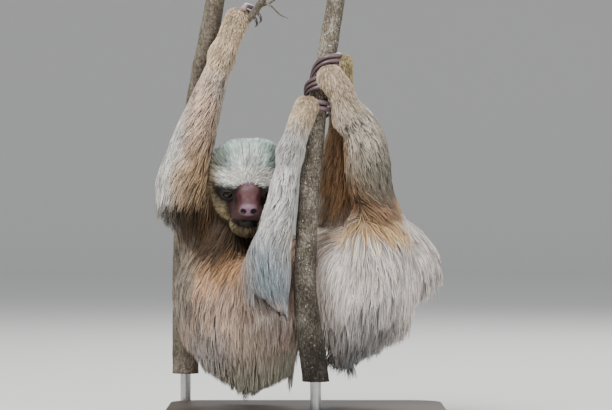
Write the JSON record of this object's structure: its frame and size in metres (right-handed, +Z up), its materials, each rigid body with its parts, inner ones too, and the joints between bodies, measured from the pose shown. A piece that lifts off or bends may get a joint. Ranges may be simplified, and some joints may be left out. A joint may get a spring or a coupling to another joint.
{
  "type": "two-toed sloth",
  "caption": "Life-size model of a two-toed sloth hanging belly up in a fork of slender stems, its face to the front, on a flat stand.",
  "frame": {"origin": "centre of the underside of the stand's base", "axes": "+Z up, -Y towards the viewer that the face looks at, +X to that viewer's right, towards the rump"},
  "size_m": [0.4326, 0.2805, 0.655],
  "materials": {
    "coat": "long, coarse, wavy hair with a soft sheen, grey, tan and golden brown",
    "muzzle": "bare reddish-brown skin, slightly glossy",
    "nose": "moist dark pink-purple skin",
    "eye": "dark brown, polished",
    "ear": "thin bare skin",
    "claw": "horn, dark purplish brown with a satin sheen",
    "bark": "rough grey-brown bark with pale specks",
    "stand": "satin black-stained board",
    "rod": "satin"
  },
  "bodies": {
    "root": {"claw_foot_left_1": "claw", "claw_foot_left_2": "claw", "claw_foot_left_3": "claw", "claw_foot_right_1": "claw", "claw_foot_right_2": "claw", "claw_foot_right_3": "claw", "claw_hand_left_1": "claw", "claw_hand_left_2": "claw", "claw_hand_right_1": "claw", "claw_hand_right_2": "claw", "ear_left": "ear", "ear_right": "ear", "eye_left": "eye", "eye_right": "eye", "foot_left": "coat", "foot_right": "coat", "forearm_left": "coat", "forearm_right": "coat", "hand_left": "coat", "hand_right": "coat", "head": "coat", "muzzle": "muzzle", "neck": "coat", "nose": "nose", "perch_front_stem": "bark", "perch_rear_stem": "bark", "perch_twig": "bark", "shin_left": "coat", "shin_right": "coat", "stand_base": "stand", "stand_rod_front": "rod", "stand_rod_rear": "rod", "thigh_left": "coat", "thigh_right": "coat", "torso_belly": "coat", "torso_chest": "coat", "torso_rump": "coat", "upper_arm_left": "coat", "upper_arm_right": "coat"}
  },
  "joints": []
}
